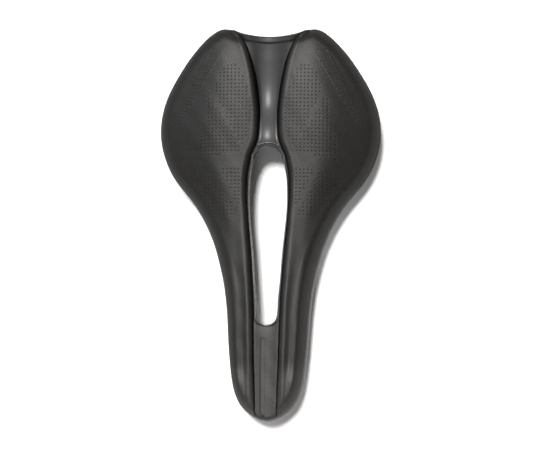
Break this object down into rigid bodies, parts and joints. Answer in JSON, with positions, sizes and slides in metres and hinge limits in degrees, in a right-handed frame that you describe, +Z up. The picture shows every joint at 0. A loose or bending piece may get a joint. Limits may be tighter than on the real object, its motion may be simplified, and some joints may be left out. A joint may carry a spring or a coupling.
{
  "type": "bicycle saddle",
  "caption": "Short-nose road bicycle saddle: split padded top with a long relief opening, moulded shell, bent round rail held by liners, caps and screws.",
  "frame": {"origin": "midway between the two parallel rails, on the line joining their centres, at the middle of their straight clamping length", "axes": "+Z up, +Y towards the tail, the nose points along -Y, +X across the saddle; the object is symmetric about X = 0"},
  "size_m": [0.145, 0.2556, 0.0537],
  "materials": {
    "shell": "gloss moulded composite",
    "foam": "open-cell polyurethane foam",
    "cover": "matte fine-grained synthetic skin with pressed dots",
    "rail": "satin",
    "liner": "matte elastomer",
    "cap": "fine-textured reinforced nylon",
    "screw": "machined stainless",
    "brass": "machined"
  },
  "bodies": {
    "root": {"shell": "shell", "foam_pad": "foam", "cover": "cover", "rail": "rail", "nose_liner": "liner", "nose_cap": "cap", "nose_cap_screws": "screw", "nose_inserts": "brass", "rear_liner_left": "liner", "rear_liner_right": "liner", "rear_cap_left": "cap", "rear_cap_right": "cap", "rear_cap_screws_left": "screw", "rear_cap_screws_right": "screw", "rear_inserts_left": "brass", "rear_inserts_right": "brass"}
  },
  "joints": []
}
